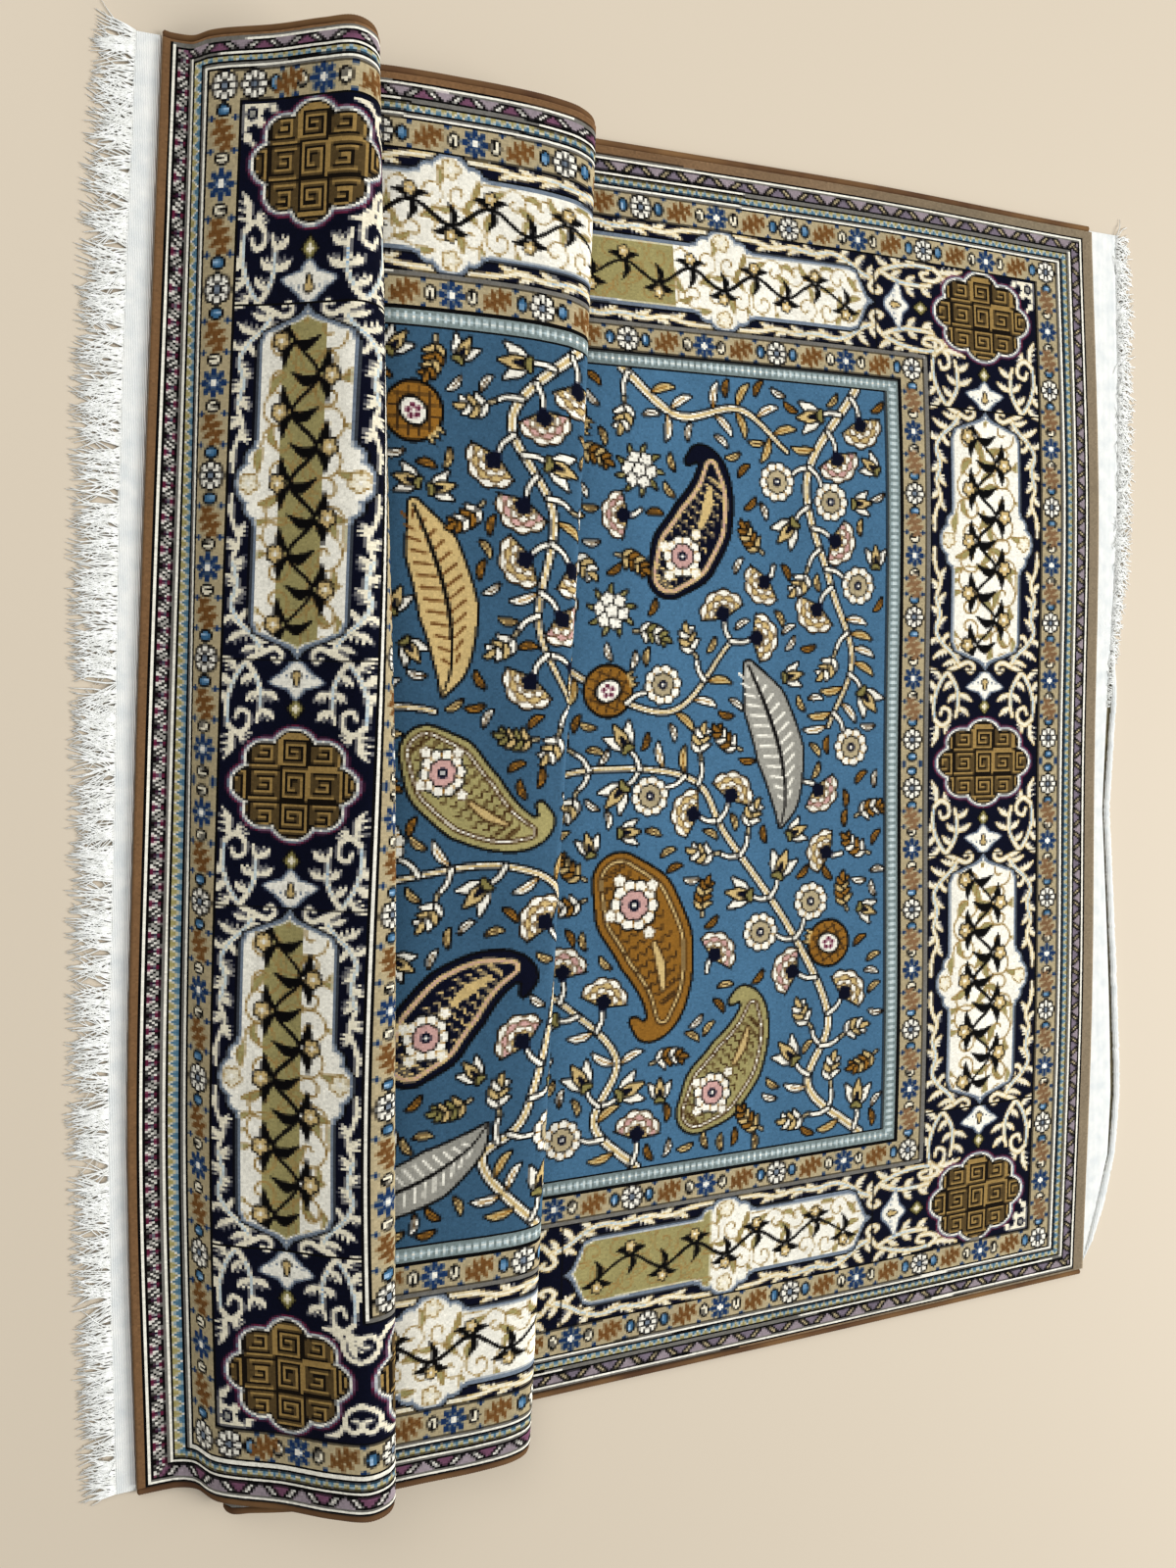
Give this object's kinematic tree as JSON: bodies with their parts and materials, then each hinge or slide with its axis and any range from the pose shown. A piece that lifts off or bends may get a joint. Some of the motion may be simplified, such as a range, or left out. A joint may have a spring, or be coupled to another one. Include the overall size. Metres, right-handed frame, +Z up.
{
  "type": "persian rug",
  "caption": "Hand-knotted wool pile rug with overcast side selvedges, flat-woven end strips and cotton fringes, lying on the floor with cross pleats near one end.",
  "frame": {"origin": "middle of the footprint, on the floor under the rug", "axes": "+X across the rug's width to the right, +Y along its length to the far end, +Z up off the floor"},
  "size_m": [1.4, 1.2841, 0.116],
  "materials": {
    "pile": "clipped wool pile, matt with a soft sheen, patterned",
    "selvedge": "overcast brown wool cord, matt",
    "fringe": "flat-woven undyed cotton with loose warp ends, matt"
  },
  "bodies": {
    "root": {"rug_body": "pile", "selvedge_left": "selvedge", "selvedge_right": "selvedge", "fringe_near": "fringe", "fringe_far": "fringe"}
  },
  "joints": []
}
